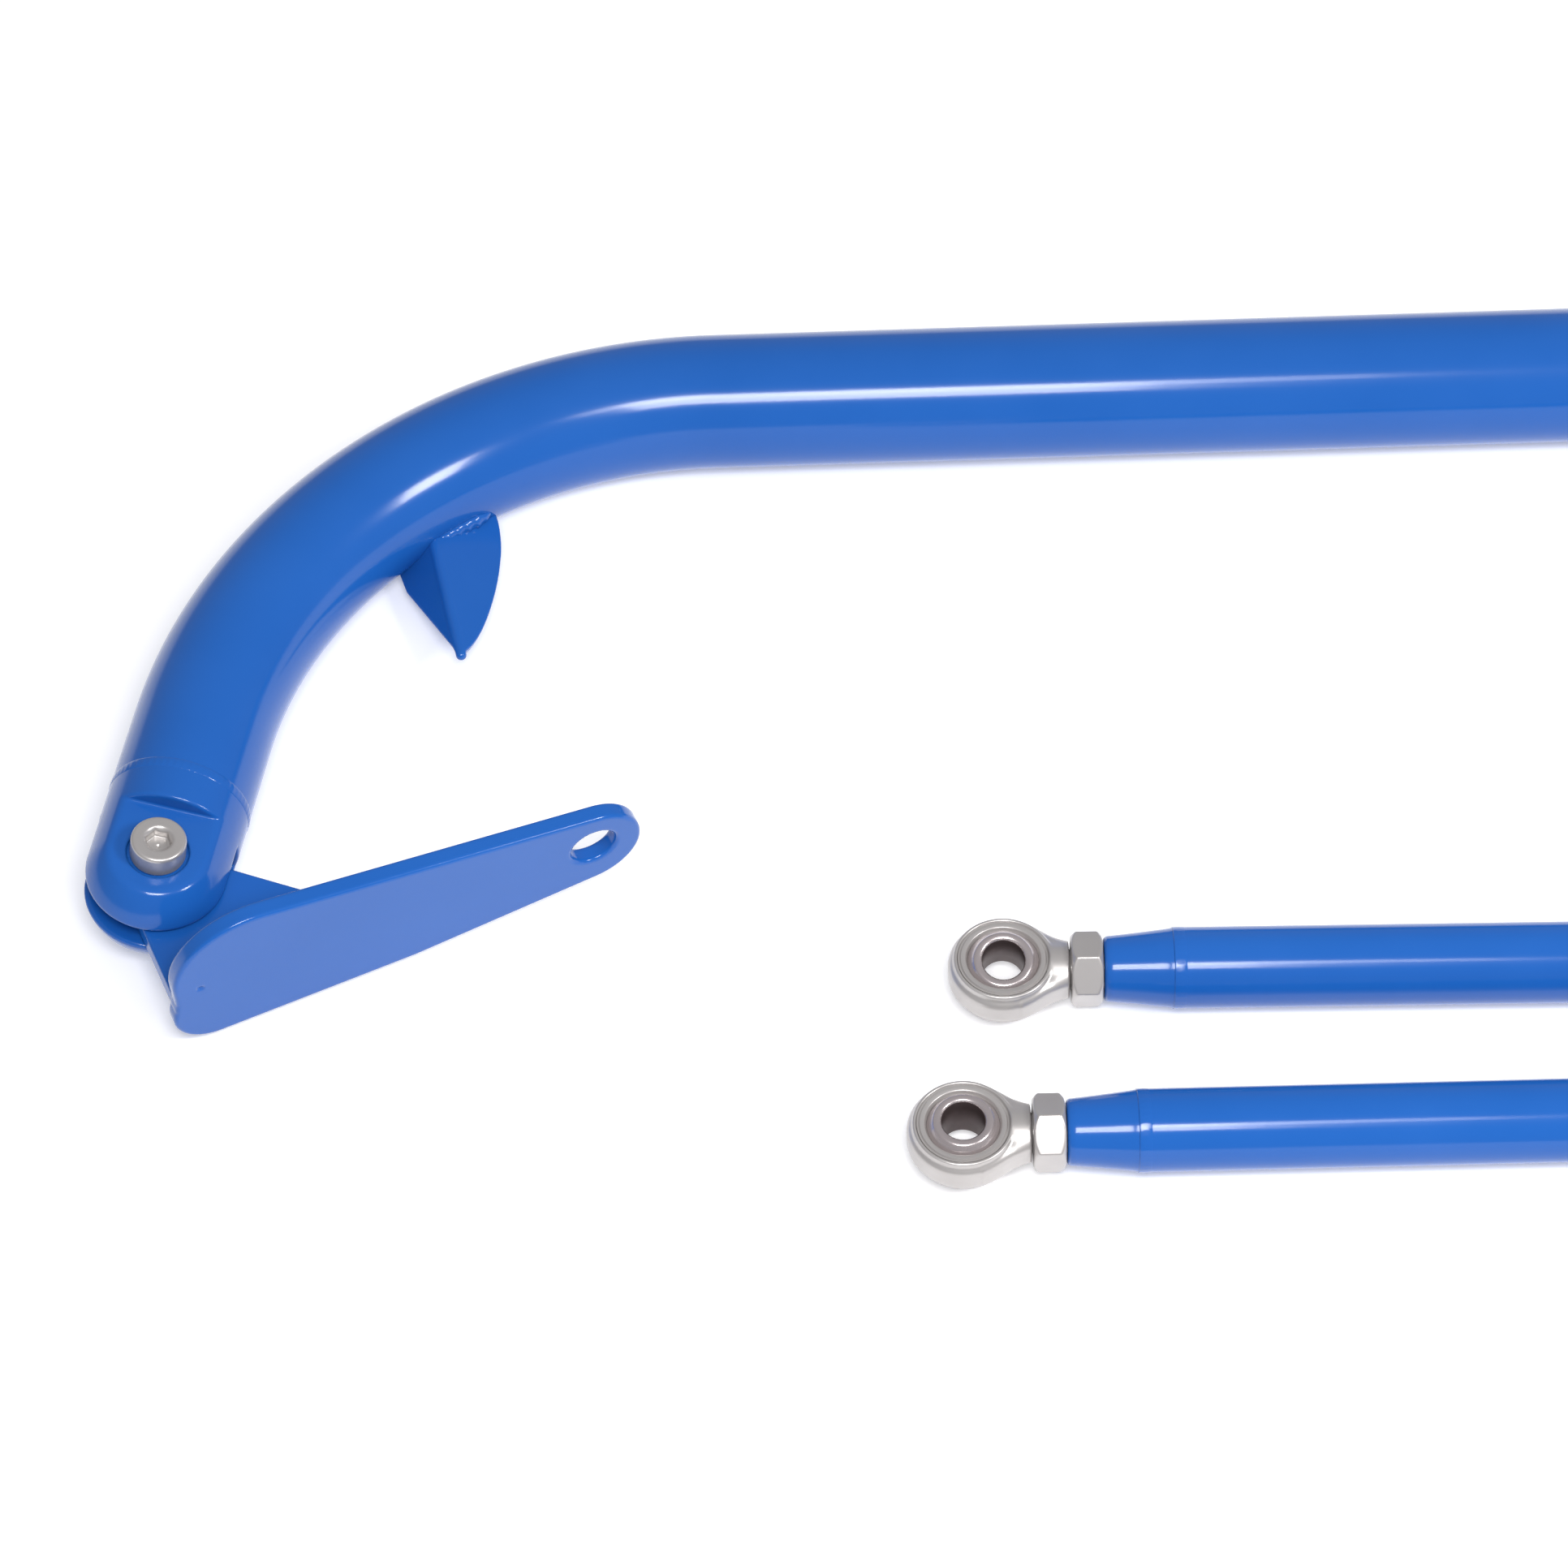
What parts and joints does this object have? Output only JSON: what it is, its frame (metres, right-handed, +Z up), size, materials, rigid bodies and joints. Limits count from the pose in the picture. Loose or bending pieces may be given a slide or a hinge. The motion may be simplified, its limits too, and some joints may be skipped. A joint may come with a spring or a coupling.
{
  "type": "harness cross bar",
  "caption": "Tubular harness cross bar with forked ends and pivoting anchor brackets, lying with its loose adjustable support rods with swivel ends.",
  "frame": {"origin": "under the middle of the whole set, on the surface it lies on", "axes": "+X along the bar, +Y away from the anchor brackets, +Z up"},
  "size_m": [1.245, 0.2874, 0.0501],
  "materials": {
    "blue_powder_coat": "gloss powder coat",
    "zinc_plate": "bright zinc plate",
    "washer_nylon": "matt"
  },
  "bodies": {
    "bar": {"main_tube": "blue_powder_coat", "fork_left": "blue_powder_coat", "fork_right": "blue_powder_coat", "fork_weld_left": "blue_powder_coat", "fork_weld_right": "blue_powder_coat", "guide_fin_left": "blue_powder_coat", "guide_fin_right": "blue_powder_coat", "guide_weld_left": "blue_powder_coat", "guide_weld_right": "blue_powder_coat", "pivot_bolt_left": "zinc_plate", "pivot_bolt_right": "zinc_plate", "pivot_washers_left": "washer_nylon", "pivot_washers_right": "washer_nylon"},
    "bracket_left": {"tongue_left": "blue_powder_coat", "anchor_plate_left": "blue_powder_coat", "bracket_weld_left": "blue_powder_coat"},
    "bracket_right": {"tongue_right": "blue_powder_coat", "anchor_plate_right": "blue_powder_coat", "bracket_weld_right": "blue_powder_coat"},
    "rod_back": {"rod_tube_back": "blue_powder_coat", "bung_back_left": "blue_powder_coat", "bung_back_right": "blue_powder_coat", "bung_weld_back_left": "blue_powder_coat", "bung_weld_back_right": "blue_powder_coat", "jam_nut_back_left": "zinc_plate", "jam_nut_back_right": "zinc_plate"},
    "eye_back_left": {"rod_end_back_left": "zinc_plate", "race_back_left": "zinc_plate"},
    "swivel_ball_back_left": {"ball_back_left": "zinc_plate"},
    "eye_back_right": {"rod_end_back_right": "zinc_plate", "race_back_right": "zinc_plate"},
    "swivel_ball_back_right": {"ball_back_right": "zinc_plate"},
    "rod_front": {"rod_tube_front": "blue_powder_coat", "bung_front_left": "blue_powder_coat", "bung_front_right": "blue_powder_coat", "bung_weld_front_left": "blue_powder_coat", "bung_weld_front_right": "blue_powder_coat", "jam_nut_front_left": "zinc_plate", "jam_nut_front_right": "zinc_plate"},
    "eye_front_left": {"rod_end_front_left": "zinc_plate", "race_front_left": "zinc_plate"},
    "swivel_ball_front_left": {"ball_front_left": "zinc_plate"},
    "eye_front_right": {"rod_end_front_right": "zinc_plate", "race_front_right": "zinc_plate"},
    "swivel_ball_front_right": {"ball_front_right": "zinc_plate"}
  },
  "joints": [
    {"name": "bracket_left_swing", "type": "hinge", "parent": "bar", "child": "bracket_left", "pos_m": [-0.60345, -0.0416, 0.01905], "axis": [0.1791, -0.0338, 0.9833], "range_deg": [-70, 10]},
    {"name": "bracket_right_swing", "type": "hinge", "parent": "bar", "child": "bracket_right", "pos_m": [0.60345, -0.0416, 0.01905], "axis": [-0.1791, -0.0338, 0.9833], "range_deg": [-10, 70]},
    {"name": "rod_back_lift", "type": "slide", "parent": "bar", "child": "rod_back", "axis": [0, 0, 1], "range_m": [0, 0.06]},
    {"name": "eye_back_left_screw", "type": "slide", "parent": "rod_back", "child": "eye_back_left", "axis": [-0.9998, 0.0201, 0], "range_m": [0, 0.02]},
    {"name": "ball_back_left_tilt", "type": "hinge", "parent": "eye_back_left", "child": "swivel_ball_back_left", "pos_m": [-0.38172, -0.07261, 0.01065], "axis": [0.9998, -0.0201, 0], "range_deg": [-25, 1]},
    {"name": "eye_back_right_screw", "type": "slide", "parent": "rod_back", "child": "eye_back_right", "axis": [0.9998, -0.0201, 0], "range_m": [0, 0.02]},
    {"name": "ball_back_right_tilt", "type": "hinge", "parent": "eye_back_right", "child": "swivel_ball_back_right", "pos_m": [0.39012, -0.08811, 0.01065], "axis": [0.9998, -0.0201, 0], "range_deg": [-25, 1]},
    {"name": "rod_front_lift", "type": "slide", "parent": "bar", "child": "rod_front", "axis": [0, 0, 1], "range_m": [0, 0.06]},
    {"name": "eye_front_left_screw", "type": "slide", "parent": "rod_front", "child": "eye_front_left", "axis": [-1, 0.0079, 0], "range_m": [0, 0.02]},
    {"name": "ball_front_left_tilt", "type": "hinge", "parent": "eye_front_left", "child": "swivel_ball_front_left", "pos_m": [-0.39449, -0.12333, 0.01065], "axis": [1, -0.0079, 0], "range_deg": [-15, 11]},
    {"name": "eye_front_right_screw", "type": "slide", "parent": "rod_front", "child": "eye_front_right", "axis": [1, -0.0079, 0], "range_m": [0, 0.02]},
    {"name": "ball_front_right_tilt", "type": "hinge", "parent": "eye_front_right", "child": "swivel_ball_front_right", "pos_m": [0.37749, -0.12939, 0.01065], "axis": [1, -0.0079, 0], "range_deg": [-15, 11]}
  ],
  "couplings": [
    {"joint": "eye_back_right_screw", "follows": "eye_back_left_screw", "ratio": 1},
    {"joint": "eye_front_right_screw", "follows": "eye_front_left_screw", "ratio": 1}
  ]
}
